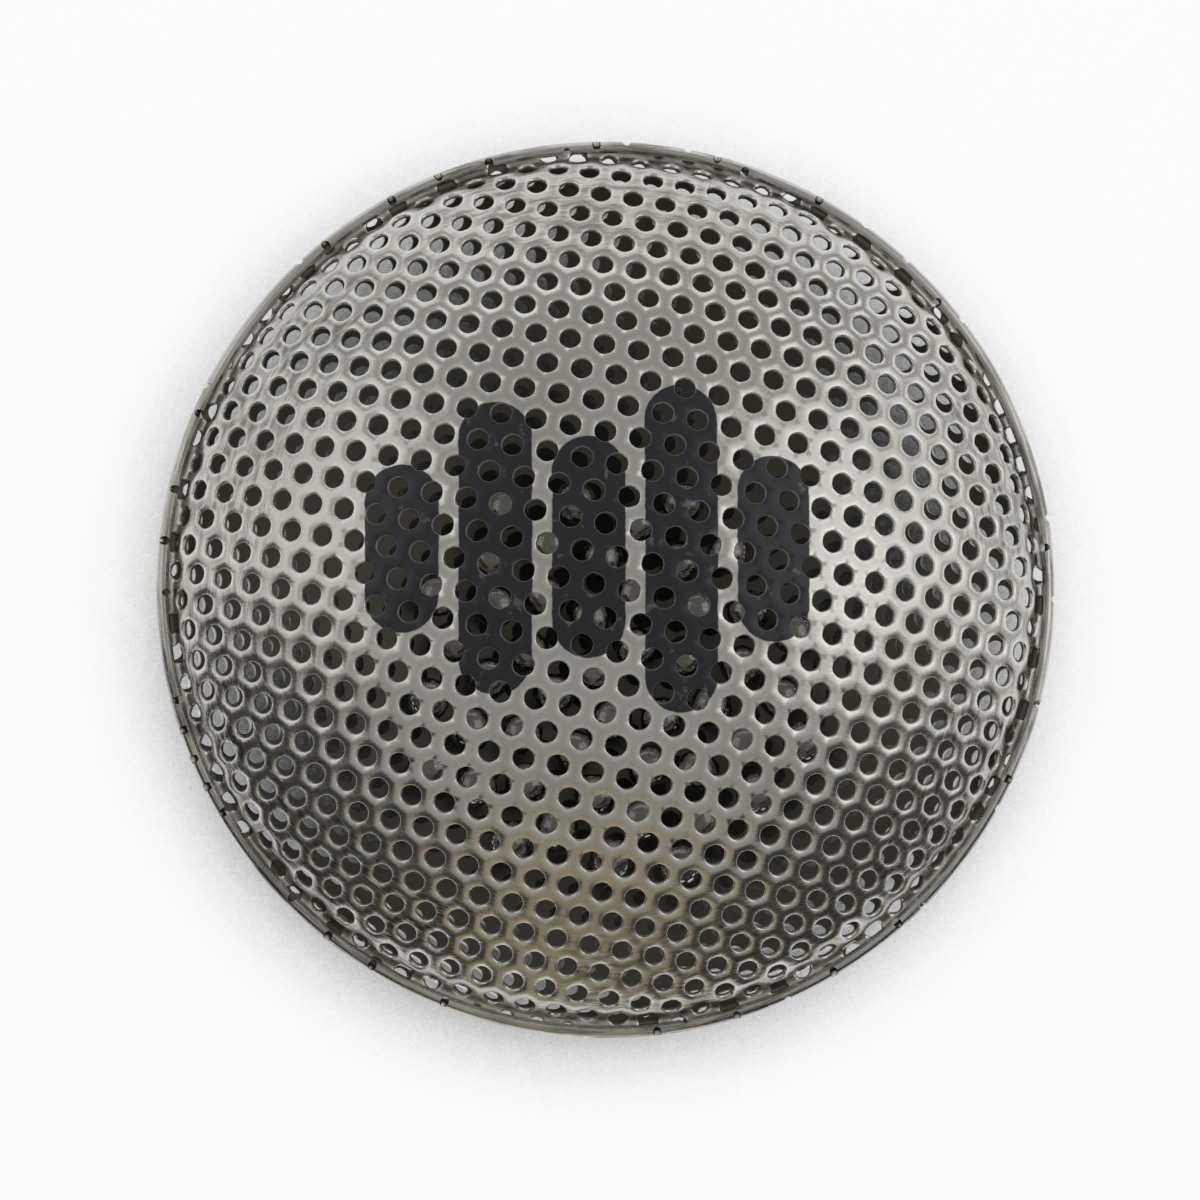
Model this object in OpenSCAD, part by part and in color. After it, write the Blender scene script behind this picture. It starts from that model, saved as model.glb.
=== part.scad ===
// Percussion shaker: two domed shells pressed from perforated steel sheet, hemmed together at the rim,
// with loose steel beads inside. It lies on the crown of the rear shell, and its axis is +Z.
// Lengths are in millimetres and angles in degrees.

/* [Rim] */
// Outside diameter over the hemmed rim
rim_d = 103; // [92:0.5:120]
// Width of the rim, from its outside edge in to the foot of the dome
rim_w = 1.5; // [1.4:0.1:3]
// Gap between the inner edge of the hem and the foot of the dome
hem_gap = 0.1; // [0.05:0.05:0.3]

/* [Dome] */
// Radius of the crown, on the middle of the sheet
crown_r = 73; // [65:1:110]
// Radius of the shoulder, on the middle of the sheet
shoulder_r = 9; // [6:0.5:14]
// Steepest slope of the wall under the shoulder
wall_slope = 70; // [60:1:80]
// Radius of the corner between wall and flange, on the middle of the sheet
corner_r = 1; // [0.8:0.1:2]

/* [Sheet] */
// Thickness of the sheet
sheet_t = 0.6; // [0.4:0.05:0.75]
// Diameter of the punched holes
hole_d = 2.5; // [1.5:0.1:2.8]
// Distance between the centres of neighbouring holes
hole_pitch = 4; // [3.8:0.1:6]
// Metal left between the last holes and the edge of the flange
edge_web = 0.4; // [0.3:0.1:2]
// Turn of the rows of holes in the front shell
front_turn = -11; // [-30:1:30]
// Turn of the rows of holes in the rear shell
rear_turn = 7; // [-30:1:30]

/* [Beads] */
// Diameter of one bead
bead_d = 5; // [3.5:0.1:6]
// Least room between neighbouring beads
bead_spacing = 0.35; // [0.3:0.05:1]
// Room between a resting bead and the sheet under it
bead_gap = 0.3; // [0.2:0.05:1]

/* [Hidden] */
$fn = 72;
bead_count = 48;
// Middle of the pool of beads, which has run down to one side
pool_centre = [1, -10];
// Where the hole nearest to the crown sits, along and across the rows
front_offset = [-0.15, 1.8];
rear_offset = [1.5, 1.2];
// How far one curve of the section reaches past the next, so that the two cross
crossing = 0.004;
// How far a punch reaches past the middle of the sheet
punch_reach = 1.6;
degrees_per_radian = 180 / PI;
// Turn from one bead to the next, and the closest pair that this turn leaves at a spread of 1
golden_angle = 137.508;
closest_pair = 1.546;

function bead_name(k) = str("bead_", k < 10 ? "0" : "", k);

// The middle line of the sheet runs from crown to shoulder, wall corner and flange.
// Its heights are over the centre of the crown.
foot_r = rim_d / 2 - rim_w;
crown_slope = asin((foot_r - (shoulder_r + corner_r) * sin(wall_slope)) / (crown_r - shoulder_r));
shoulder_centre = (crown_r - shoulder_r) * [sin(crown_slope), cos(crown_slope)];
corner_top_z = shoulder_centre[1] + shoulder_r * cos(wall_slope);
flange_z = corner_top_z - corner_r * (1 - cos(wall_slope));
corner_centre = [foot_r, flange_z + corner_r];
fold_r = sheet_t;
fold_at_r = rim_d / 2 - fold_r - sheet_t / 2;
// Height of the face on which the two flanges meet, over the lowest point of the rear crown
seam_z = crown_r - flange_z + sheet_t;

// Lengths along the middle line at which crown, shoulder, corner and flange end
crown_end = crown_r * crown_slope / degrees_per_radian;
shoulder_end = crown_end + shoulder_r * (wall_slope - crown_slope) / degrees_per_radian;
foot_end = shoulder_end + corner_r * wall_slope / degrees_per_radian;
flange_end = foot_end + fold_at_r - foot_r;

// Slope of the sheet at a length along the middle line
function slope_at(s) =
    s < crown_end ? s / crown_r * degrees_per_radian :
    s < shoulder_end ? crown_slope + (s - crown_end) / shoulder_r * degrees_per_radian :
    s < foot_end ? (foot_end - s) / corner_r * degrees_per_radian : 0;

// Radius and height of the sheet at a length past the crown
function place_at(s) =
    let (a = slope_at(s))
    s < shoulder_end ? shoulder_centre + shoulder_r * [sin(a), cos(a)] :
    s < foot_end ? corner_centre - corner_r * [sin(a), cos(a)] :
    [foot_r + s - foot_end, flange_z];

// Staggered rows of holes on the flat sheet, each as its length from the crown and its bearing
function sheet_holes(from, to, turn, offset) =
    let (n = ceil(to / hole_pitch * 1.2))
    [for (j = [-n:n]) for (i = [-n:n])
        let (p = hole_pitch * [i + j / 2, j * sqrt(3) / 2] + offset, s = norm(p))
        if (s >= from && s < to) [s, atan2(p[1], p[0]) + turn]];

// Everything under a face of the sheet, which lies this far outside its middle line
module under_dome(grow) {
    intersection() {
        circle(crown_r + grow);
        union() {
            translate(shoulder_centre) circle(shoulder_r + grow + crossing);
            polygon([[0, 0], [0, 2 * crown_r], 2 * crown_r * [sin(crown_slope), cos(crown_slope)]]);
        }
    }
    difference() {
        square([foot_r, corner_top_z + grow * cos(wall_slope)]);
        translate(corner_centre) circle(corner_r - grow + crossing);
    }
    square([rim_d, flange_z + grow]);
}

module dome_section() {
    intersection() {
        difference() {
            under_dome(sheet_t / 2);
            under_dome(-sheet_t / 2);
        }
        square([fold_at_r, 2 * crown_r]);
    }
}

// The flange of the rear shell goes on round the front shell's flange and lies down on top of it
module hem_section() {
    translate([fold_at_r, flange_z - sheet_t]) intersection() {
        difference() {
            circle(fold_r + sheet_t / 2);
            circle(fold_r - sheet_t / 2);
        }
        translate([0, -rim_w]) square(2 * rim_w);
    }
    translate([foot_r + hem_gap, flange_z - 2.5 * sheet_t])
        square([fold_at_r - foot_r - hem_gap, sheet_t]);
}

// Holes of the crown, each along a line through the crown's centre
module crown_punches(turn, offset) {
    for (h = sheet_holes(0, crown_end, turn, offset))
        rotate([0, slope_at(h[0]), h[1]]) difference() {
            cylinder(d = hole_d, h = crown_r + punch_reach);
            translate([0, 0, -1]) cylinder(d = 2 * hole_d, h = crown_r - punch_reach + 1);
        }
}

// Holes of the shoulder, wall and corner, each square to the sheet
module wall_punches(turn, offset) {
    for (h = sheet_holes(crown_end, flange_end - hole_d / 2 - edge_web, turn, offset)) {
        p = place_at(h[0]);
        rotate(h[1]) translate([p[0], 0, p[1]]) rotate([0, slope_at(h[0]), 0])
            cylinder(d = hole_d, h = 2 * punch_reach, center = true);
    }
}

// One pressed and punched shell, crown up, with the centre of its crown at the origin
module pressed_shell(turn, offset) {
    difference() {
        difference() {
            rotate_extrude() dome_section();
            crown_punches(turn, offset);
        }
        wall_punches(turn, offset);
    }
}

module front_shell() {
    color("silver") translate([0, 0, seam_z + sheet_t / 2 - flange_z])
        pressed_shell(front_turn, front_offset);
}

module rear_shell() {
    color("silver") translate([0, 0, seam_z - sheet_t / 2 + flange_z]) rotate([180, 0, 0]) {
        pressed_shell(rear_turn, rear_offset);
        rotate_extrude() hem_section();
    }
}

// The beads lie one deep on the rear crown, spread like the seeds of a sunflower
bead_spread = (bead_d + bead_spacing) / closest_pair;
bead_run = crown_r - sheet_t / 2 - bead_d / 2 - bead_gap;

function bead_at(k) =
    pool_centre + bead_spread * sqrt(k - 0.5) * [cos(k * golden_angle), sin(k * golden_angle)];

module bead(k) {
    p = bead_at(k);
    color("gray") translate([p[0], p[1], crown_r + sheet_t / 2 - sqrt(bead_run ^ 2 - p * p)])
        sphere(d = bead_d);
}

front_shell();
rear_shell();
for (k = [1:bead_count]) bead(k);
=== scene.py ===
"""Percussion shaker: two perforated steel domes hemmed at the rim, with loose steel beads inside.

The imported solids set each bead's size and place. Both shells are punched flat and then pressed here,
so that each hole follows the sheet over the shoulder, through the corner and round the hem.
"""
import logging
import math
from dataclasses import dataclass
from enum import Enum
from functools import cached_property
from typing import Any, Union

import bpy
import numpy as np
from mathutils import Matrix, Vector


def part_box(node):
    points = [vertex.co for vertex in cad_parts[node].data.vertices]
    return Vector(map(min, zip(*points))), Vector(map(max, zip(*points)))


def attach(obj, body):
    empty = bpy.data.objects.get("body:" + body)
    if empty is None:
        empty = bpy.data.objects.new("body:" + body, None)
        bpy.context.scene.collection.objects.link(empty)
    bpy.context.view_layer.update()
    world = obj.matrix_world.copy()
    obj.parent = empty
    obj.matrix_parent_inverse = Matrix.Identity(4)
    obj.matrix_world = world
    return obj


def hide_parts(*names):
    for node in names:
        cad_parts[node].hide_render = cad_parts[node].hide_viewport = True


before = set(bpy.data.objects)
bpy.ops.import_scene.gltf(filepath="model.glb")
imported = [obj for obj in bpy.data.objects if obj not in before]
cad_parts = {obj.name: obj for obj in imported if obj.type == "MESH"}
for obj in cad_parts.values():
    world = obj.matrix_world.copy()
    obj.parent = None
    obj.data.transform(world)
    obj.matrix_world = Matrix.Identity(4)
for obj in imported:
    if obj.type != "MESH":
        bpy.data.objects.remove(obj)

LOG = logging.getLogger("shaker")
MM = 0.001
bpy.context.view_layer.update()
# Points of the flat sheet that lie closer than this, in millimetres, become one
MERGE = 0.01
# Sides of the blank's circle, and depth of the tools that cut the flat sheet
ROUND_SIDES = 360
TOOL_DEPTH = 4.0

Pair = tuple[float, float]
Triple = tuple[float, float, float]


class Side(Enum):
    """Which of the two shells a pressing is."""

    FRONT = "front_shell"
    REAR = "rear_shell"


class Val:
    """A shader socket that takes part in Python expressions and adds Math nodes as it does."""

    def __init__(self, graph: "Graph", socket: bpy.types.NodeSocket) -> None:
        """Wraps a socket of the graph.

        Args:
            graph: The graph that the socket is in.
            socket: The output socket that holds the value.
        """
        self.graph = graph
        self.socket = socket

    def math(self, operation: str, *others: "Num") -> "Val":
        """Adds a Math node that takes this value first.

        Args:
            operation: Name of the operation.
            others: The other operands.

        Returns:
            The node's value.
        """
        return self.graph.math(operation, self, *others)

    def __add__(self, other: "Num") -> "Val":
        """Sum."""
        return self.math("ADD", other)

    def __radd__(self, other: "Num") -> "Val":
        """Sum with the number first."""
        return self.graph.math("ADD", other, self)

    def __sub__(self, other: "Num") -> "Val":
        """Difference."""
        return self.math("SUBTRACT", other)

    def __rsub__(self, other: "Num") -> "Val":
        """Difference with the number first."""
        return self.graph.math("SUBTRACT", other, self)

    def __mul__(self, other: "Num") -> "Val":
        """Product."""
        return self.math("MULTIPLY", other)

    def __rmul__(self, other: "Num") -> "Val":
        """Product with the number first."""
        return self.graph.math("MULTIPLY", other, self)

    def __truediv__(self, other: "Num") -> "Val":
        """Quotient."""
        return self.math("DIVIDE", other)

    def __abs__(self) -> "Val":
        """Size without sign."""
        return self.math("ABSOLUTE")

    def least(self, other: "Num") -> "Val":
        """The smaller of two values."""
        return self.math("MINIMUM", other)

    def most(self, other: "Num") -> "Val":
        """The larger of two values."""
        return self.math("MAXIMUM", other)

    def step(self, low: float, high: float) -> "Val":
        """A soft step from 0 at low to 1 at high.

        Args:
            low: Value at which the step starts.
            high: Value at which it ends.

        Returns:
            The step, from 0 to 1.
        """
        return self.graph.node(
            "ShaderNodeMapRange",
            {"interpolation_type": "SMOOTHSTEP", "clamp": True},
            {"Value": self, "From Min": low, "From Max": high},
        )


Num = Union[Val, float]


class Graph:
    """The nodes of one material or of the world."""

    def __init__(self, tree: bpy.types.NodeTree) -> None:
        """Empties a node tree.

        Args:
            tree: The tree to fill.
        """
        self.tree = tree
        tree.nodes.clear()

    def node(self, kind: str, settings: dict[str, Any], sockets: dict[Any, Any], out: Any = 0) -> Val:
        """Adds any node.

        Args:
            kind: The node's type.
            settings: Properties that are set first.
            sockets: Values or links of its inputs, by name or index.
            out: Name or index of the output that is wanted.

        Returns:
            That output.
        """
        made = self.tree.nodes.new(kind)
        for name, value in settings.items():
            setattr(made, name, value)
        for name, value in sockets.items():
            if isinstance(value, Val):
                self.tree.links.new(value.socket, made.inputs[name])
            else:
                made.inputs[name].default_value = value
        if not made.outputs:
            return Val(self, None)
        return Val(self, made.outputs[out])

    def math(self, operation: str, *values: Num) -> Val:
        """Adds a Math node.

        Args:
            operation: Name of the operation.
            values: Its operands in order.

        Returns:
            The result.
        """
        return self.node("ShaderNodeMath", {"operation": operation}, dict(enumerate(values)))

    def place(self, scale: Triple = (1.0, 1.0, 1.0), turn: Triple = (0.0, 0.0, 0.0)) -> Val:
        """Object coordinates in metres, stretched and turned.

        Args:
            scale: Stretch along each axis.
            turn: Turn about each axis, in radians.

        Returns:
            The coordinates.
        """
        plain = self.node("ShaderNodeTexCoord", {}, {}, "Object")
        return self.node("ShaderNodeMapping", {}, {"Vector": plain, "Scale": scale, "Rotation": turn})

    def noise(self, at: Val, scale: float, detail: float = 2.0, rough: float = 0.5) -> Val:
        """Adds a noise of a given fineness.

        Args:
            at: Coordinates that it is read at.
            scale: Waves per metre.
            detail: Octaves.
            rough: Strength of the finer octaves.

        Returns:
            The noise, about 0.5.
        """
        sockets = {"Vector": at, "Scale": scale, "Detail": detail, "Roughness": rough}
        return self.node("ShaderNodeTexNoise", {"noise_dimensions": "3D"}, sockets)

    def blend(self, amount: Num, low: Any, high: Any) -> Val:
        """Mixes two colours.

        Args:
            amount: 0 for the first and 1 for the second.
            low: First colour.
            high: Second colour.

        Returns:
            The mixed colour.
        """
        made = self.tree.nodes.new("ShaderNodeMix")
        made.data_type = "RGBA"
        for index, value in ((0, amount), (6, low), (7, high)):
            if isinstance(value, Val):
                self.tree.links.new(value.socket, made.inputs[index])
            else:
                made.inputs[index].default_value = (*value, 1.0) if index else value
        return Val(self, made.outputs[2])


@dataclass(frozen=True)
class PrintedBars:
    """A plain printed design of upright bars, in metres on the face of the front shell."""

    middle: Pair = (-0.003, 0.003)
    spacing: float = 0.0104
    half_width: float = 0.0041
    half_heights: tuple[float, ...] = (0.0095, 0.0165, 0.0125, 0.0185, 0.0105)

    def mask(self, graph: Graph) -> Val:
        """Where the ink lies.

        Args:
            graph: The material's nodes.

        Returns:
            1 on the ink and 0 off it.
        """
        where = graph.place()
        x = graph.node("ShaderNodeSeparateXYZ", {}, {0: where}, 0)
        y = graph.node("ShaderNodeSeparateXYZ", {}, {0: where}, 1)
        nearest: Num = 1.0
        for index, half_height in enumerate(self.half_heights):
            across = self.middle[0] + self.spacing * (index - (len(self.half_heights) - 1) / 2)
            beyond = (abs(y - self.middle[1]) - (half_height - self.half_width)).most(0.0)
            aside = x - across
            distance = (aside * aside + beyond * beyond).math("SQRT")
            nearest = distance.least(nearest)
        ragged = (graph.noise(where, 900.0, 3.0) - 0.5) * 0.0003
        ink = 1 - (nearest + ragged).step(self.half_width - 0.00008, self.half_width + 0.00008)
        worn = graph.noise(where, 420.0, 4.0, 0.6).step(0.3, 0.38)
        return ink * (0.82 + 0.18 * worn)


@dataclass(frozen=True)
class SheetSteel:
    """Satin steel sheet: fine grain, faint stains, a painted highlight round the holes and painted
    shade on the face inside the hollow.
    """

    name: str
    base: Triple = (0.575, 0.56, 0.53)
    stain: Triple = (0.44, 0.415, 0.365)
    # Darker colour of the face inside the hollow: painted shade, as little light gets in there
    inner_shade: Triple = (0.20, 0.185, 0.155)
    streaked: Triple = (0.16, 0.15, 0.135)
    # Lighter colour of the hole edges and drawn rings: a painted highlight, as the rounded edges catch
    # light
    edge_highlight: Triple = (0.86, 0.84, 0.8)
    ink: Triple = (0.013, 0.012, 0.018)
    roughness: float = 0.27
    ink_roughness: float = 0.34
    print_design: Union[PrintedBars, None] = None

    def draw_marks(self, graph: Graph) -> Val:
        """Streaks round the shoulder, where the press drew the sheet over its ring.

        Args:
            graph: The material's nodes.

        Returns:
            1 in a streak and 0 off it.
        """
        where = graph.place()
        x = graph.node("ShaderNodeSeparateXYZ", {}, {0: where}, 0)
        y = graph.node("ShaderNodeSeparateXYZ", {}, {0: where}, 1)
        out = (x * x + y * y).math("SQRT").most(0.001)
        along = graph.node(
            "ShaderNodeCombineXYZ",
            {},
            {0: out * 1600.0, 1: x / out * 7.0, 2: y / out * 7.0},
        )
        streak = graph.noise(along, 1.0, 4.0, 0.65).step(0.44, 0.6)
        patch = graph.noise(where, 45.0, 2.0).step(0.36, 0.58)
        return streak * patch * out.step(0.034, 0.044)

    def make(self) -> bpy.types.Material:
        """Builds the material.

        Returns:
            The finished material.
        """
        material = bpy.data.materials.new(self.name)
        material.use_nodes = True
        graph = Graph(material.node_tree)
        grain = graph.noise(graph.place((1.0, 7.0, 1.0), (0.0, 0.0, 0.2)), 700.0, 3.0, 0.6)
        cloud = graph.noise(graph.place(), 55.0, 3.0, 0.55)
        speck = graph.noise(graph.place(), 1500.0, 2.0)
        depth = graph.node("ShaderNodeAttribute", {"attribute_name": "depth"}, {}, "Fac")
        inside = depth.step(0.55, 0.95)
        edge = depth.step(0.05, 0.25) * (1 - depth.step(0.35, 0.6))
        # Mask of the painted highlight: the drawn ring round each hole and the hole wall
        ring_highlight = depth.step(0.0015, 0.005) * (1 - depth.step(0.35, 0.6))
        drawn = self.draw_marks(graph)
        colour = graph.blend(cloud.step(0.42, 0.72) * 0.55, self.base, self.stain)
        colour = graph.blend(drawn * 0.7, colour, self.streaked)
        # Painted highlight: the hole edges and drawn rings take the lighter colour
        colour = graph.blend((ring_highlight * 0.5).most(edge * 0.6), colour, self.edge_highlight)
        # Painted shade: the face inside the hollow takes the darker colour
        colour = graph.blend(inside, colour, self.inner_shade)
        rough = self.roughness + (grain - 0.5) * 0.16 + (cloud - 0.5) * 0.14
        rough = rough + inside * 0.2 - edge * 0.05
        metal: Num = 1.0
        if self.print_design is not None:
            # The print thins on the hole walls, so that the painted highlight shows through it
            ink = self.print_design.mask(graph) * (1 - depth.step(0.3, 0.6)) * (1 - 0.45 * edge)
            colour = graph.blend(ink, colour, self.ink)
            rough = rough * (1 - ink) + ink * self.ink_roughness
            metal = 1 - ink
        bump = graph.node(
            "ShaderNodeBump",
            {},
            {"Strength": 0.3, "Distance": 0.00005, "Height": grain * 0.6 + speck * 0.4 - drawn * 1.4},
        )
        shader = graph.node(
            "ShaderNodeBsdfPrincipled",
            {},
            {"Base Color": colour, "Roughness": rough, "Metallic": metal, "Normal": bump},
        )
        graph.node("ShaderNodeOutputMaterial", {}, {"Surface": shader})
        return material


@dataclass(frozen=True)
class BeadSteel:
    """Polished steel shot with a few rolled scuffs."""

    name: str = "bead_steel"
    base: Triple = (0.50, 0.49, 0.47)
    scuffed: Triple = (0.38, 0.365, 0.34)

    def make(self) -> bpy.types.Material:
        """Builds the material.

        Returns:
            The finished material.
        """
        material = bpy.data.materials.new(self.name)
        material.use_nodes = True
        graph = Graph(material.node_tree)
        scuff = graph.noise(graph.place(), 600.0, 4.0, 0.65).step(0.5, 0.68)
        fine = graph.noise(graph.place(), 2600.0, 2.0)
        bump = graph.node("ShaderNodeBump", {}, {"Strength": 0.1, "Distance": 0.00002, "Height": fine})
        shader = graph.node(
            "ShaderNodeBsdfPrincipled",
            {},
            {
                "Base Color": graph.blend(scuff, self.base, self.scuffed),
                "Roughness": 0.08 + scuff * 0.18 + fine * 0.04,
                "Metallic": 1.0,
                "Normal": bump,
            },
        )
        graph.node("ShaderNodeOutputMaterial", {}, {"Surface": shader})
        return material


class Bench:
    """The modelling moves that the pieces share, each as it would be made by hand."""

    @staticmethod
    def clear() -> None:
        """Leaves edit mode and deselects everything."""
        if bpy.context.object is not None and bpy.context.object.mode != "OBJECT":
            bpy.ops.object.mode_set(mode="OBJECT")
        bpy.ops.object.select_all(action="DESELECT")

    @staticmethod
    def pick(obj: bpy.types.Object, faces: np.ndarray) -> None:
        """Enters edit mode with only these faces selected.

        Args:
            obj: The active object.
            faces: One flag per face.
        """
        bpy.ops.object.mode_set(mode="EDIT")
        bpy.ops.mesh.select_mode(type="FACE")
        bpy.ops.mesh.select_all(action="DESELECT")
        bpy.ops.object.mode_set(mode="OBJECT")
        obj.data.polygons.foreach_set("select", faces.astype(bool))
        bpy.ops.object.mode_set(mode="EDIT")

    @staticmethod
    def points(obj: bpy.types.Object) -> np.ndarray:
        """The mesh's points.

        Args:
            obj: A mesh object in object mode.

        Returns:
            One row of three numbers per point.
        """
        flat = np.empty(len(obj.data.vertices) * 3)
        obj.data.vertices.foreach_get("co", flat)
        return flat.reshape(-1, 3)

    @staticmethod
    def centres(obj: bpy.types.Object) -> np.ndarray:
        """The middles of the mesh's faces.

        Args:
            obj: A mesh object in object mode.

        Returns:
            One row of three numbers per face.
        """
        flat = np.empty(len(obj.data.polygons) * 3)
        obj.data.polygons.foreach_get("center", flat)
        return flat.reshape(-1, 3)

    @staticmethod
    def apply(obj: bpy.types.Object, kind: str, **settings: Any) -> None:
        """Adds a modifier and applies it.

        Args:
            obj: The active object.
            kind: The modifier's type.
            settings: Its properties.
        """
        made = obj.modifiers.new(kind.lower(), kind)
        for name, value in settings.items():
            setattr(made, name, value)
        bpy.ops.object.modifier_apply(modifier=made.name)


@dataclass(frozen=True)
class SheetLine:
    """Middle line of the pressed sheet in millimetres, from the crown out to the end of the hem."""

    rim_d: float = 103.0
    rim_w: float = 1.5
    hem_gap: float = 0.1
    crown_r: float = 73.0
    shoulder_r: float = 9.0
    wall_slope: float = math.radians(70.0)
    corner_r: float = 1.0
    thickness: float = 0.6
    hem_sink: float = 0.35

    @cached_property
    def foot_r(self) -> float:
        """Radius of the foot of the dome."""
        return self.rim_d / 2 - self.rim_w

    @cached_property
    def crown_slope(self) -> float:
        """Slope at which the crown passes into the shoulder."""
        reach = self.foot_r - (self.shoulder_r + self.corner_r) * math.sin(self.wall_slope)
        return math.asin(reach / (self.crown_r - self.shoulder_r))

    @cached_property
    def shoulder_at(self) -> Pair:
        """Centre of the shoulder's arc."""
        run = self.crown_r - self.shoulder_r
        return run * math.sin(self.crown_slope), run * math.cos(self.crown_slope)

    @cached_property
    def flange_z(self) -> float:
        """Height of the flange over the crown's centre."""
        drop = self.corner_r * (1 - math.cos(self.wall_slope))
        return self.shoulder_at[1] + self.shoulder_r * math.cos(self.wall_slope) - drop

    @cached_property
    def fold_at_r(self) -> float:
        """Radius at which the hem starts to turn."""
        return self.rim_d / 2 - 1.5 * self.thickness

    @cached_property
    def hem_w(self) -> float:
        """Width of the flat part of the hem."""
        return self.fold_at_r - self.foot_r - self.hem_gap

    @cached_property
    def seam_z(self) -> float:
        """Height of the face on which the flanges meet, over the lowest point."""
        return self.crown_r - self.flange_z + self.thickness

    @cached_property
    def ends(self) -> tuple[float, ...]:
        """Lengths along the line at which crown, shoulder, corner, flange, fold and hem end."""
        crown = self.crown_r * self.crown_slope
        shoulder = crown + self.shoulder_r * (self.wall_slope - self.crown_slope)
        corner = shoulder + self.corner_r * self.wall_slope
        flange = corner + self.fold_at_r - self.foot_r
        fold = flange + math.pi * self.thickness
        return crown, shoulder, corner, flange, fold, fold + self.hem_w

    def at(self, length: np.ndarray) -> tuple[np.ndarray, np.ndarray, np.ndarray]:
        """Follows the line.

        Args:
            length: Lengths along it from the crown.

        Returns:
            Radius, height and slope at each.
        """
        crown, shoulder, corner, flange, fold, _ = self.ends
        here = [length < end for end in (crown, shoulder, corner, flange, fold)]
        fold_r = self.thickness
        slope = np.select(
            here,
            [
                length / self.crown_r,
                self.crown_slope + (length - crown) / self.shoulder_r,
                (corner - length) / self.corner_r,
                0 * length,
                (length - flange) / fold_r,
            ],
            math.pi,
        )
        out, up = np.sin(slope), np.cos(slope)
        radius = np.select(
            here,
            [
                self.crown_r * out,
                self.shoulder_at[0] + self.shoulder_r * out,
                self.foot_r - self.corner_r * out,
                self.foot_r + length - corner,
                self.fold_at_r + fold_r * out,
            ],
            self.fold_at_r - (length - fold),
        )
        sunk = self.hem_sink * np.clip((length - fold) / self.hem_w, 0.0, 1.0) ** 1.5
        height = np.select(
            here,
            [
                self.crown_r * up,
                self.shoulder_at[1] + self.shoulder_r * up,
                self.flange_z + self.corner_r * (1 - up),
                self.flange_z + 0 * length,
                self.flange_z - fold_r * (1 - up),
            ],
            self.flange_z - 2 * fold_r + sunk,
        )
        return radius, height, slope


@dataclass
class PunchedCell:
    """A six-sided cell of the flat sheet, with a round hole drawn in at its upper edge."""

    pitch: float = 4.0
    hole_r: float = 1.25
    draw_w: float = 0.14
    draw_h: float = 0.12
    crown_h: float = 0.003
    thickness: float = 0.6

    @property
    def corner_r(self) -> float:
        """Distance from the middle of the cell to its corners."""
        return self.pitch / math.sqrt(3)

    def ring(self, radius: float, height: float) -> None:
        """Rounds the selected face's edge to a circle and sets its size and height.

        Args:
            radius: Radius of the circle.
            height: Height of the circle.
        """
        bpy.ops.transform.tosphere(value=1.0)
        bpy.ops.object.mode_set(mode="OBJECT")
        obj = bpy.context.object
        points = Bench.points(obj)
        face = next(f for f in obj.data.polygons if f.select)
        loop = points[list(face.vertices)]
        middle = loop.mean(axis=0)
        size = radius / np.linalg.norm((loop - middle)[:, :2], axis=1).mean()
        bpy.ops.object.mode_set(mode="EDIT")
        bpy.ops.transform.resize(value=(size, size, 1.0), center_override=tuple(middle))
        bpy.ops.transform.translate(value=(0.0, 0.0, height - float(middle[2])))

    def build(self, name: str) -> bpy.types.Object:
        """Makes the cell at the origin, upper face at height 0.

        Args:
            name: Name of the object.

        Returns:
            The cell.
        """
        Bench.clear()
        bpy.ops.mesh.primitive_circle_add(vertices=6, radius=self.corner_r, fill_type="NGON")
        obj = bpy.context.object
        obj.name = name
        bpy.ops.object.mode_set(mode="EDIT")
        bpy.ops.mesh.select_mode(type="EDGE")
        bpy.ops.mesh.select_all(action="SELECT")
        bpy.ops.mesh.subdivide(number_cuts=2)
        bpy.ops.mesh.select_mode(type="FACE")
        bpy.ops.mesh.select_all(action="SELECT")
        bpy.ops.mesh.duplicate_move(TRANSFORM_OT_translate={"value": (0.0, 0.0, -self.thickness)})
        bpy.ops.mesh.flip_normals()
        # The insets are only begun here, and each ring then takes its own size
        bpy.ops.mesh.inset(thickness=0.5)
        self.ring(self.hole_r, -self.thickness)
        bpy.ops.object.mode_set(mode="OBJECT")
        Bench.pick(obj, Bench.centres(obj)[:, 2] > -0.1)
        bpy.ops.mesh.inset(thickness=0.3)
        self.ring(self.hole_r + self.draw_w, -self.crown_h)
        bpy.ops.mesh.inset(thickness=0.1)
        self.ring(self.hole_r, -self.draw_h)
        bpy.ops.object.mode_set(mode="OBJECT")
        sides = np.array([len(f.vertices) for f in obj.data.polygons])
        Bench.pick(obj, sides > 4)
        bpy.ops.mesh.bridge_edge_loops()
        bpy.ops.object.mode_set(mode="OBJECT")
        return obj


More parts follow.
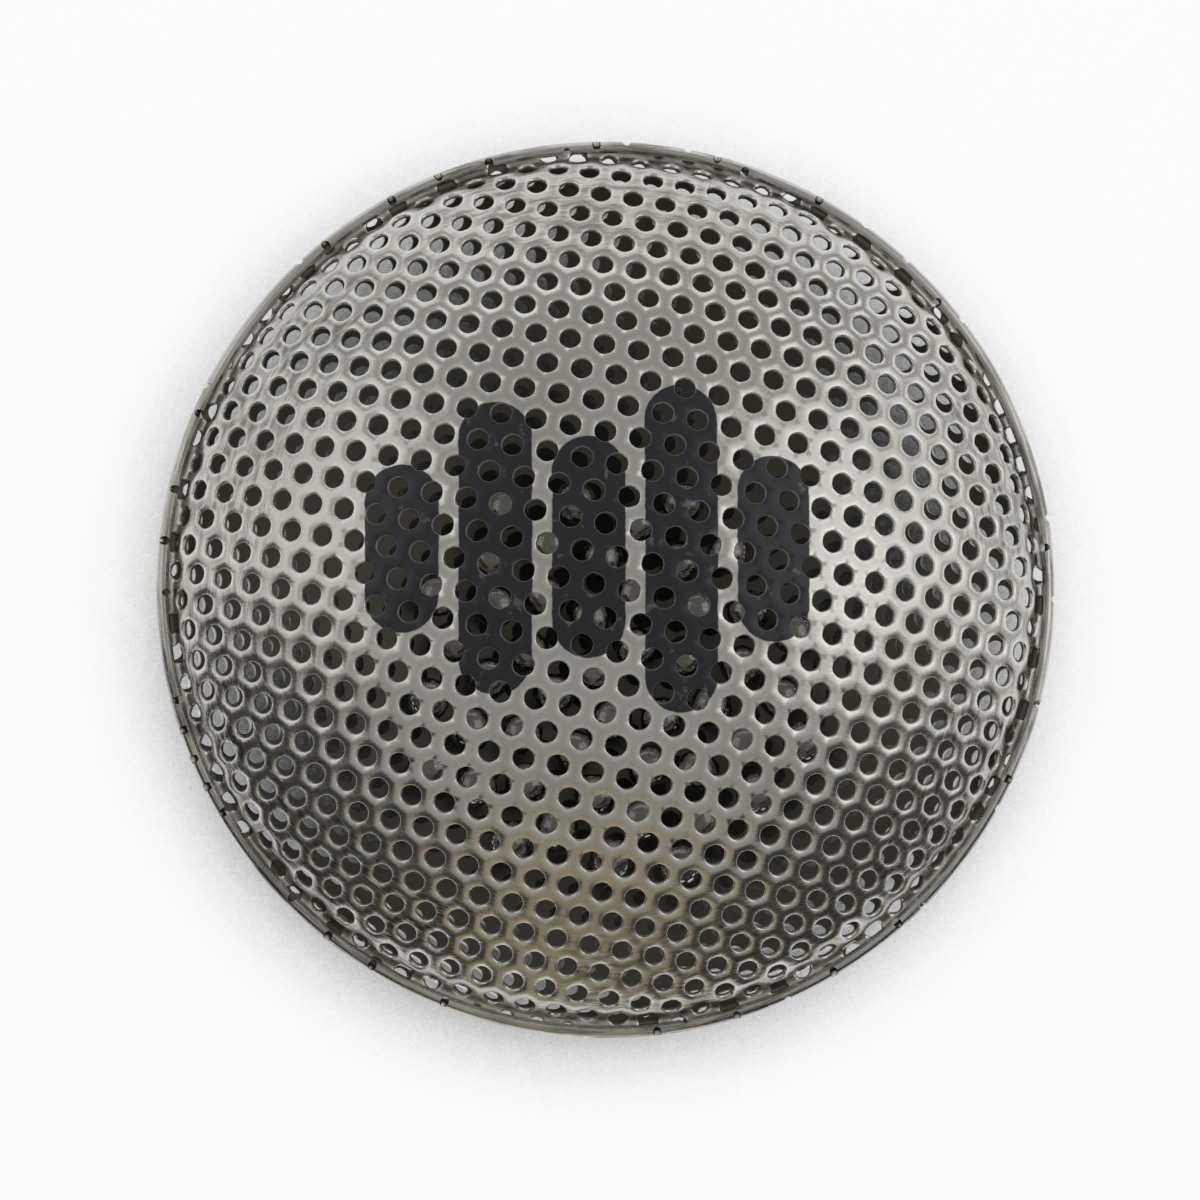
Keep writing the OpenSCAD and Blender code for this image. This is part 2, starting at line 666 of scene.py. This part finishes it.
@dataclass
class Shell:
    """One shell: punched flat in staggered rows, cut round, pressed and set in its place."""

    side: Side
    line: SheetLine
    turn: float
    offset: Pair
    finish: SheetSteel
    fine_from: float = 0.4
    hem_steps: int = 18
    hem_hole_sides: int = 18
    hem_squeeze: float = 0.45
    hem_margins: Pair = (0.9, 0.2)
    smooth_angle: float = math.radians(66.0)

    @property
    def blank_r(self) -> float:
        """Radius of the flat blank, out to where the hem turns."""
        return self.line.ends[3]

    def lay_rows(self, cell: PunchedCell) -> bpy.types.Object:
        """Repeats the cell over the whole blank.

        Args:
            cell: The cell to repeat.

        Returns:
            The flat sheet.
        """
        pitch = cell.pitch
        rows = math.ceil(self.blank_r / (pitch * math.sqrt(3) / 2)) + 1
        columns = math.ceil(self.blank_r / pitch + rows / 2) + 1
        obj = cell.build(self.side.value + "_sheet")
        slant = (pitch / 2, pitch * math.sqrt(3) / 2, 0.0)
        start = (
            self.offset[0] - columns * pitch - rows * slant[0],
            self.offset[1] - rows * slant[1],
            0.0,
        )
        Bench.pick(obj, np.ones(len(obj.data.polygons)))
        bpy.ops.transform.translate(value=start)
        bpy.ops.object.mode_set(mode="OBJECT")
        for step, count in (((pitch, 0.0, 0.0), 2 * columns + 1), (slant, 2 * rows + 1)):
            Bench.apply(
                obj,
                "ARRAY",
                count=count,
                use_relative_offset=False,
                use_constant_offset=True,
                constant_offset_displace=step,
            )
        self.drop_outside(obj, cell)
        bpy.ops.object.mode_set(mode="EDIT")
        bpy.ops.mesh.select_all(action="SELECT")
        bpy.ops.mesh.remove_doubles(threshold=MERGE)
        bpy.ops.object.mode_set(mode="OBJECT")
        return obj

    def cell_middles(self, points: np.ndarray, pitch: float) -> np.ndarray:
        """Finds the middle of the cell that each point lies in.

        Args:
            points: One row per point of the flat sheet.
            pitch: Distance between neighbouring middles.

        Returns:
            One row of two numbers per point.
        """
        rise = math.sqrt(3) / 2
        flat = (points[:, :2] - np.array(self.offset)) / pitch
        row = flat[:, 1] / rise
        corner = np.floor(np.stack([flat[:, 0] - row / 2, row], axis=1))
        nearest = np.zeros_like(flat)
        least = np.full(len(flat), np.inf)
        for step in ((0, 0), (1, 0), (0, 1), (1, 1)):
            i, j = (corner + step).T
            middle = np.stack([i + j / 2, j * rise], axis=1)
            away = np.linalg.norm(flat - middle, axis=1)
            closer = away < least
            nearest[closer] = middle[closer]
            least[closer] = away[closer]
        return nearest * pitch + np.array(self.offset)

    def drop_outside(self, obj: bpy.types.Object, cell: PunchedCell) -> None:
        """Deletes the cells that lie wholly outside the blank.

        Args:
            obj: The flat sheet.
            cell: The cell that the rows repeat.
        """
        middles = self.cell_middles(Bench.centres(obj), cell.pitch)
        Bench.pick(obj, np.linalg.norm(middles, axis=1) > self.blank_r + cell.corner_r)
        bpy.ops.mesh.delete(type="FACE")
        bpy.ops.object.mode_set(mode="OBJECT")

    def close_edge(self, obj: bpy.types.Object) -> None:
        """Draws a wall down from the upper outline of the rows to the lower one.

        Args:
            obj: The flat sheet.
        """
        upper = Bench.points(obj)[:, 2] > -self.line.thickness / 2
        bpy.ops.object.mode_set(mode="EDIT")
        bpy.ops.mesh.select_mode(type="EDGE")
        bpy.ops.mesh.select_all(action="DESELECT")
        bpy.ops.mesh.select_non_manifold(
            extend=False, use_wire=False, use_boundary=True,
            use_multi_face=False, use_non_contiguous=False, use_verts=False,
        )
        bpy.ops.object.mode_set(mode="OBJECT")
        for edge in obj.data.edges:
            edge.select = edge.select and all(upper[v] for v in edge.vertices)
        bpy.ops.object.mode_set(mode="EDIT")
        bpy.ops.mesh.extrude_edges_move(
            TRANSFORM_OT_translate={"value": (0.0, 0.0, -self.line.thickness)}
        )
        bpy.ops.mesh.select_all(action="SELECT")
        bpy.ops.mesh.remove_doubles(threshold=MERGE)
        bpy.ops.object.mode_set(mode="OBJECT")

    def cut_round(self, obj: bpy.types.Object) -> None:
        """Makes the mesh finer where the rim bends and cuts it to the blank's circle.

        Args:
            obj: The flat sheet.
        """
        reach = np.linalg.norm(Bench.centres(obj)[:, :2], axis=1)
        Bench.pick(obj, reach > self.line.ends[1] - self.fine_from)
        bpy.ops.mesh.subdivide(number_cuts=1)
        bpy.ops.object.mode_set(mode="OBJECT")
        bpy.ops.mesh.primitive_cylinder_add(
            vertices=ROUND_SIDES, radius=self.blank_r, depth=TOOL_DEPTH, location=(0.0, 0.0, 0.0)
        )
        cutter = bpy.context.object
        Bench.clear()
        bpy.context.view_layer.objects.active = obj
        obj.select_set(True)
        Bench.apply(obj, "BOOLEAN", operation="INTERSECT", solver="EXACT", object=cutter)
        bpy.data.objects.remove(cutter)

    def hem_holes(self, cell: PunchedCell) -> list[Triple]:
        """Finds the holes of the rows that fall on the fold and on top of the hem.

        Args:
            cell: The cell that the rows repeat.

        Returns:
            Their places on the flat sheet and their radii, which the fold has squeezed.
        """
        start, _, hem = self.line.ends[3:]
        past_start, past_end = self.hem_margins
        reach = math.ceil(hem / cell.pitch * 1.3)
        found = []
        for j in range(-reach, reach + 1):
            for i in range(-reach, reach + 1):
                x = cell.pitch * (i + j / 2) + self.offset[0]
                y = cell.pitch * j * math.sqrt(3) / 2 + self.offset[1]
                if start + past_start < math.hypot(x, y) < hem + past_end:
                    found.append((x, y, self.hem_squeeze * cell.hole_r))
        return found

    def add_hem(self, sheet: bpy.types.Object, cell: PunchedCell) -> None:
        """Adds the strip of the blank that is folded over, with its holes punched through.

        Args:
            sheet: The flat sheet, which the strip is joined to.
            cell: The cell that the rows repeat.
        """
        start, end = self.line.ends[3], self.line.ends[5]
        Bench.clear()
        bpy.ops.mesh.primitive_circle_add(vertices=ROUND_SIDES, radius=start, location=(0.0, 0.0, 0.0))
        strip = bpy.context.object
        bpy.ops.object.mode_set(mode="EDIT")
        bpy.ops.mesh.select_all(action="SELECT")
        for step in range(self.hem_steps):
            here = start + (end - start) * step / self.hem_steps
            size = (start + (end - start) * (step + 1) / self.hem_steps) / here
            bpy.ops.mesh.extrude_edges_move()
            bpy.ops.transform.resize(value=(size, size, 1.0), center_override=(0.0, 0.0, 0.0))
        bpy.ops.mesh.select_all(action="SELECT")
        bpy.ops.mesh.normals_make_consistent(inside=False)
        bpy.ops.object.mode_set(mode="OBJECT")
        Bench.apply(strip, "SOLIDIFY", thickness=self.line.thickness, offset=0.0)
        Bench.pick(strip, np.ones(len(strip.data.polygons)))
        bpy.ops.transform.translate(value=(0.0, 0.0, -self.line.thickness / 2))
        bpy.ops.object.mode_set(mode="OBJECT")
        bpy.ops.object.select_all(action="DESELECT")
        punches = []
        for x, y, size in self.hem_holes(cell):
            bpy.ops.mesh.primitive_cylinder_add(
                vertices=self.hem_hole_sides, radius=size, depth=TOOL_DEPTH, location=(x, y, 0.0)
            )
            punches.append(bpy.context.object)
        for punch in punches:
            punch.select_set(True)
        bpy.ops.object.join()
        punch = bpy.context.object
        Bench.clear()
        bpy.context.view_layer.objects.active = strip
        strip.select_set(True)
        Bench.apply(strip, "BOOLEAN", operation="DIFFERENCE", solver="EXACT", object=punch)
        bpy.data.objects.remove(punch)
        LOG.info("hem: %d holes", len(punches))
        sheet.select_set(True)
        bpy.context.view_layer.objects.active = sheet
        bpy.ops.object.join()

    def press(self, obj: bpy.types.Object) -> None:
        """Carries every point of the flat sheet to the pressed line; no operator presses to a profile.

        Args:
            obj: The flat sheet.
        """
        points = Bench.points(obj)
        depth = obj.data.attributes.new("depth", "FLOAT", "POINT")
        depth.data.foreach_set("value", np.clip(-points[:, 2] / self.line.thickness, 0.0, 1.0))
        radius, height, slope = self.line.at(np.linalg.norm(points[:, :2], axis=1))
        bearing = np.arctan2(points[:, 1], points[:, 0]) + self.turn
        lift = self.line.thickness / 2 + points[:, 2]
        radius = radius + lift * np.sin(slope)
        height = height + lift * np.cos(slope)
        flip = -1.0 if self.side is Side.REAR else 1.0
        seat = self.line.seam_z + flip * (self.line.thickness / 2 - self.line.flange_z)
        formed = np.stack(
            [radius * np.cos(bearing), flip * radius * np.sin(bearing), seat + flip * height], axis=1
        )
        obj.data.vertices.foreach_set("co", (formed * MM).ravel())
        obj.data.update()

    def build(self, cell: PunchedCell) -> bpy.types.Object:
        """Makes the shell, dresses it and seats it on its body.

        Args:
            cell: The cell that its sheet repeats.

        Returns:
            The shell.
        """
        obj = self.lay_rows(cell)
        self.close_edge(obj)
        self.cut_round(obj)
        if self.side is Side.REAR:
            self.add_hem(obj, cell)
        self.press(obj)
        bpy.ops.object.shade_smooth_by_angle(angle=self.smooth_angle, keep_sharp_edges=True)
        Bench.apply(obj, "WEIGHTED_NORMAL", keep_sharp=True, weight=100)
        obj.data.materials.clear()
        obj.data.materials.append(self.finish.make())
        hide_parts(self.side.value)
        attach(obj, "shells")
        LOG.info("%s: %d faces", obj.name, len(obj.data.polygons))
        return obj


@dataclass
class Beads:
    """The loose beads: one ball is shaped, and every bead is a copy of it."""

    finish: BeadSteel

    def ball(self) -> bpy.types.Object:
        """Shapes the first ball at the origin, with a radius of 1.

        Returns:
            The ball.
        """
        Bench.clear()
        bpy.ops.mesh.primitive_cube_add(size=2.0, location=(0.0, 0.0, 0.0))
        obj = bpy.context.object
        obj.name = "first_ball"
        Bench.apply(obj, "SUBSURF", levels=3)
        Bench.apply(obj, "CAST", cast_type="SPHERE", factor=1.0, use_radius_as_size=False, size=1.0)
        bpy.ops.object.shade_smooth()
        obj.data.materials.append(self.finish.make())
        return obj

    def build(self) -> list[bpy.types.Object]:
        """Copies the ball to every bead's place.

        Returns:
            The beads.
        """
        first = self.ball()
        beads = []
        for name in sorted(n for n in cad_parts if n.startswith("bead_")):
            low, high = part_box(name)
            radius = (high - low).x / 2
            Bench.clear()
            first.select_set(True)
            bpy.context.view_layer.objects.active = first
            bpy.ops.object.duplicate()
            obj = bpy.context.object
            obj.name = name + "_ball"
            Bench.pick(obj, np.ones(len(obj.data.polygons)))
            bpy.ops.transform.resize(value=(radius, radius, radius), center_override=(0.0, 0.0, 0.0))
            bpy.ops.transform.translate(value=(low + high) / 2)
            bpy.ops.object.mode_set(mode="OBJECT")
            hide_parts(name)
            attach(obj, name)
            beads.append(obj)
        bpy.data.objects.remove(first)
        LOG.info("beads: %d", len(beads))
        return beads


@dataclass
class Studio:
    """Pale floor, soft lamps, cards on the near side and the camera over the front face."""

    line: SheetLine
    distance: float = 0.8
    tilt: Pair = (-2.7, -4.5)
    picture_px: float = 1200.0
    rim_px: float = 449.4
    rim_at_px: Pair = (606.7, 587.9)
    surround: Triple = (0.42, 0.415, 0.40)
    lamp_away: float = 0.6
    pale: Triple = (0.85, 0.85, 0.84)
    whiteness: float = 0.96
    shadow: Triple = (0.05, 0.048, 0.043)
    shade_reach: float = 0.034
    shade_samples: int = 16
    shade_ends: Pair = (0.52, 0.80)

    def floor(self) -> None:
        """Lays a pale floor, white to camera and metal, which darkens where the shaker covers it."""
        Bench.clear()
        bpy.ops.mesh.primitive_plane_add(size=6.0, location=(0.0, 0.0, 0.0))
        obj = bpy.context.object
        obj.name = "floor"
        material = bpy.data.materials.new("pale_floor")
        material.use_nodes = True
        graph = Graph(material.node_tree)
        rays = ("Is Camera Ray", "Is Glossy Ray", "Is Transmission Ray")
        direct, glossy, through = (graph.node("ShaderNodeLightPath", {}, {}, out) for out in rays)
        seen = direct.most(glossy).most(through)
        open_sky = graph.node(
            "ShaderNodeAmbientOcclusion",
            {"samples": self.shade_samples},
            {"Distance": self.shade_reach},
            "AO",
        )
        clear_of = open_sky.step(*self.shade_ends)
        tone = graph.blend(clear_of, self.shadow, self.pale)
        plain = graph.node("ShaderNodeBsdfDiffuse", {}, {"Color": tone})
        white = graph.node("ShaderNodeEmission", {}, {"Color": (1.0, 1.0, 1.0, 1.0), "Strength": 1.0})
        share = seen * clear_of * self.whiteness
        mixed = graph.node("ShaderNodeMixShader", {}, {0: share, 1: plain, 2: white})
        graph.node("ShaderNodeOutputMaterial", {}, {"Surface": mixed})
        obj.data.materials.append(material)

    def world(self) -> None:
        """Sets a plain pale surround."""
        world = bpy.data.worlds.new("surround")
        bpy.context.scene.world = world
        world.use_nodes = True
        graph = Graph(world.node_tree)
        colour = (*self.surround, 1.0)
        plain = graph.node("ShaderNodeBackground", {}, {"Color": colour, "Strength": 1.0})
        graph.node("ShaderNodeOutputWorld", {}, {"Surface": plain})

    def lamp(self, name: str, bearing: float, height: float, size: Pair, level: float) -> None:
        """Hangs a soft lamp that faces the shaker.

        Args:
            name: Name of the lamp.
            bearing: Degrees round from +X.
            height: Degrees above the floor.
            size: Width and height in metres.
            level: Brightness of its face, where 1 is white.
        """
        data = bpy.data.lights.new(name, "AREA")
        data.shape = "RECTANGLE"
        data.size, data.size_y = size
        data.energy = level * math.pi * size[0] * size[1]
        obj = bpy.data.objects.new(name, data)
        bpy.context.scene.collection.objects.link(obj)
        a, e = math.radians(bearing), math.radians(height)
        away = Vector((math.cos(a) * math.cos(e), math.sin(a) * math.cos(e), math.sin(e)))
        obj.location = away * self.lamp_away
        obj.rotation_euler = away.to_track_quat("Z", "Y").to_euler()

    def card(self, name: str, bearing: float, away: float, size: Pair, tone: Triple) -> None:
        """Stands a plain card beside the shaker, out of the picture.

        Args:
            name: Name of the card.
            bearing: Degrees round from +X.
            away: Distance from the shaker's axis in metres.
            size: Width and height in metres.
            tone: Colour of the card.
        """
        Bench.clear()
        bpy.ops.mesh.primitive_plane_add(size=1.0)
        obj = bpy.context.object
        obj.name = name
        a = math.radians(bearing)
        obj.scale = (*size, 1.0)
        obj.rotation_euler = (math.pi / 2, 0.0, a + math.pi / 2)
        obj.location = (away * math.cos(a), away * math.sin(a), size[1] / 2 + 0.002)
        material = bpy.data.materials.new(name)
        material.use_nodes = True
        graph = Graph(material.node_tree)
        matt = graph.node("ShaderNodeBsdfDiffuse", {}, {"Color": (*tone, 1.0)})
        graph.node("ShaderNodeOutputMaterial", {}, {"Surface": matt})
        obj.data.materials.append(material)
        obj.visible_camera = False
        obj.visible_shadow = False

    def camera(self) -> None:
        """Sets the camera almost square over the front face, as the picture was taken."""
        across, along = (math.tan(math.radians(t)) for t in self.tilt)
        target = Vector((0.0, 0.0, self.line.seam_z * MM))
        away = Vector((across, along, 1.0)).normalized()
        data = bpy.data.cameras.new("camera")
        data.sensor_width = 36.0
        half = self.line.rim_d / 2 * MM * (self.picture_px / 2) / self.rim_px
        data.lens = data.sensor_width / 2 * self.distance / half
        data.shift_x = (self.picture_px / 2 - self.rim_at_px[0]) / self.picture_px
        data.shift_y = (self.rim_at_px[1] - self.picture_px / 2) / self.picture_px
        obj = bpy.data.objects.new("camera", data)
        bpy.context.scene.collection.objects.link(obj)
        right = Vector((0.0, 1.0, 0.0)).cross(away).normalized()
        turned = Matrix((right, away.cross(right), away)).transposed()
        obj.matrix_world = Matrix.Translation(target + away * self.distance) @ turned.to_4x4()
        bpy.context.scene.camera = obj

    def build(self) -> None:
        """Sets up the whole studio."""
        bpy.context.scene.view_settings.view_transform = "Standard"
        self.camera()
        self.floor()
        self.world()
        self.lamp("top_low", 92.0, 13.0, (0.7, 0.16), 0.75)
        self.lamp("right_soft", 15.0, 38.0, (0.55, 0.5), 0.62)
        self.lamp("right_strip", 3.0, 48.0, (0.07, 0.4), 0.45)
        self.lamp("left_soft", 163.0, 31.0, (0.55, 0.42), 0.50)
        self.card("near_right_card", -48.0, 0.16, (0.18, 0.11), (0.10, 0.095, 0.085))
        self.card("near_left_card", -143.0, 0.16, (0.22, 0.12), (0.09, 0.086, 0.077))
        self.card("near_card", -90.0, 0.24, (0.26, 0.26), (0.74, 0.65, 0.47))


def main() -> None:
    """Builds the studio and the pieces in order."""
    logging.basicConfig(level=logging.INFO, format="%(name)s: %(message)s")
    line = SheetLine()
    Studio(line).build()
    cell = PunchedCell(thickness=line.thickness)
    plain = SheetSteel("rear_steel")
    printed = SheetSteel("front_steel", print_design=PrintedBars())
    Shell(Side.REAR, line, math.radians(7.0), (1.5, 1.2), plain).build(cell)
    Shell(Side.FRONT, line, math.radians(-11.0), (-0.15, 1.8), printed).build(cell)
    Beads(BeadSteel()).build()


if __name__ == "__main__":
    main()
